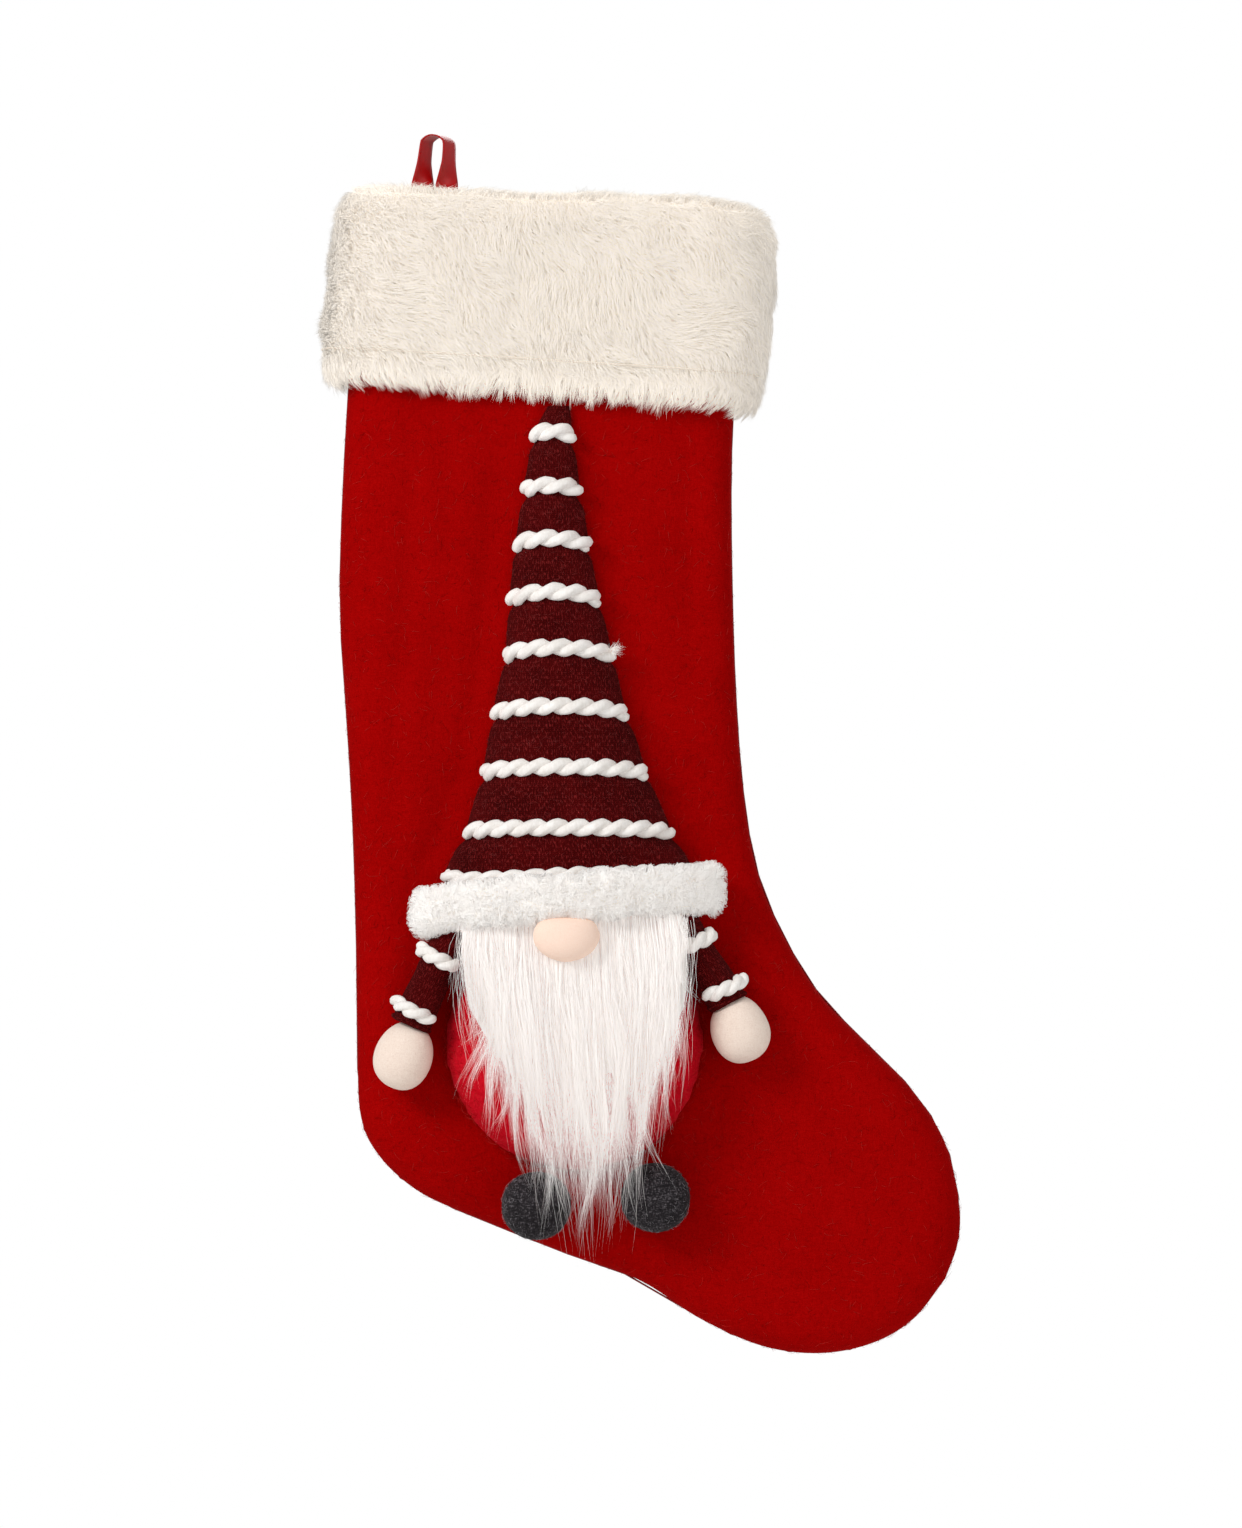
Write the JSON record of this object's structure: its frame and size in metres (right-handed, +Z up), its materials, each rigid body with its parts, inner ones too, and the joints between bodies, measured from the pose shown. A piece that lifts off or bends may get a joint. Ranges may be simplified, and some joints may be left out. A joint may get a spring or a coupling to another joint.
{
  "type": "hanging christmas stocking",
  "caption": "Hanging felt stocking with a faux fur cuff, a ribbon loop and a stuffed long-bearded gnome sewn on its front.",
  "frame": {"origin": "inside of the ribbon loop's crown, where the hook carries it", "axes": "+Z up as it hangs; the front with the gnome faces -Y; the toe points to +X"},
  "size_m": [0.2777, 0.0815, 0.5288],
  "materials": {
    "red_felt": "matte",
    "bright_red_felt": "matte",
    "lining": "matte",
    "thread": "matte",
    "cream_thread": "matte",
    "cream_fur": "matte",
    "red_satin": "satin",
    "burgundy_knit": "matte",
    "white_cord": "matte",
    "white_sherpa": "matte",
    "white_fur": "matte",
    "peach_fabric": "matte",
    "cream_felt": "matte",
    "charcoal_felt": "matte",
    "stuffing": "matte"
  },
  "bodies": {
    "hanger": {"hanging_loop": "red_satin"},
    "stocking": {"front_shell": "red_felt", "back_shell": "red_felt", "front_lining": "lining", "back_lining": "lining", "side_seam_thread": "thread", "cuff_fur": "cream_fur", "cuff_hem": "cream_fur", "cuff_facing": "cream_fur", "cuff_hem_thread": "cream_thread", "loop_tail_left": "red_satin", "loop_tail_right": "red_satin", "loop_bar_tack": "thread", "hat_shell": "burgundy_knit", "hat_stuffing": "stuffing", "hat_cord_1": "white_cord", "hat_cord_2": "white_cord", "hat_cord_3": "white_cord", "hat_cord_4": "white_cord", "hat_cord_5": "white_cord", "hat_cord_6": "white_cord", "hat_cord_7": "white_cord", "hat_cord_8": "white_cord", "hat_cord_9": "white_cord", "hat_brim": "white_sherpa", "belly_cover": "bright_red_felt", "belly_stuffing": "stuffing", "nose": "peach_fabric", "beard_base": "white_fur"},
    "beard": {"beard_backing": "white_fur", "beard_fur": "white_fur"},
    "arm_left": {"sleeve_left": "burgundy_knit", "arm_stuffing_left": "stuffing", "upper_cord_left": "white_cord", "wrist_cord_left": "white_cord", "sleeve_hem_left": "burgundy_knit", "mitten_left": "cream_felt"},
    "arm_right": {"sleeve_right": "burgundy_knit", "arm_stuffing_right": "stuffing", "upper_cord_right": "white_cord", "wrist_cord_right": "white_cord", "sleeve_hem_right": "burgundy_knit", "mitten_right": "cream_felt"},
    "foot_left": {"foot_left": "charcoal_felt"},
    "foot_right": {"foot_right": "charcoal_felt"}
  },
  "joints": [
    {"name": "loop_swing", "type": "hinge", "parent": "hanger", "child": "stocking", "pos_m": [0, 0, -0.024], "axis": [1, 0, 0], "range_deg": [-45, 45]},
    {"name": "arm_left_lift", "type": "hinge", "parent": "stocking", "child": "arm_left", "pos_m": [0.002, -0.0247, -0.359], "axis": [-0.9129, 0, 0.4081], "range_deg": [0, 60]},
    {"name": "arm_right_lift", "type": "hinge", "parent": "stocking", "child": "arm_right", "pos_m": [0.1174, -0.0247, -0.3525], "axis": [-0.9198, 0, -0.3925], "range_deg": [0, 60]},
    {"name": "foot_left_sway", "type": "hinge", "parent": "stocking", "child": "foot_left", "pos_m": [0.0447, -0.0263, -0.4515], "axis": [0, 1, 0], "range_deg": [-20, 20]},
    {"name": "foot_right_sway", "type": "hinge", "parent": "stocking", "child": "foot_right", "pos_m": [0.0958, -0.0263, -0.448], "axis": [0, 1, 0], "range_deg": [-20, 20]},
    {"name": "beard_lift", "type": "hinge", "parent": "stocking", "child": "beard", "pos_m": [0.0625, -0.039, -0.365], "axis": [-1, 0, 0], "range_deg": [0, 60]}
  ]
}
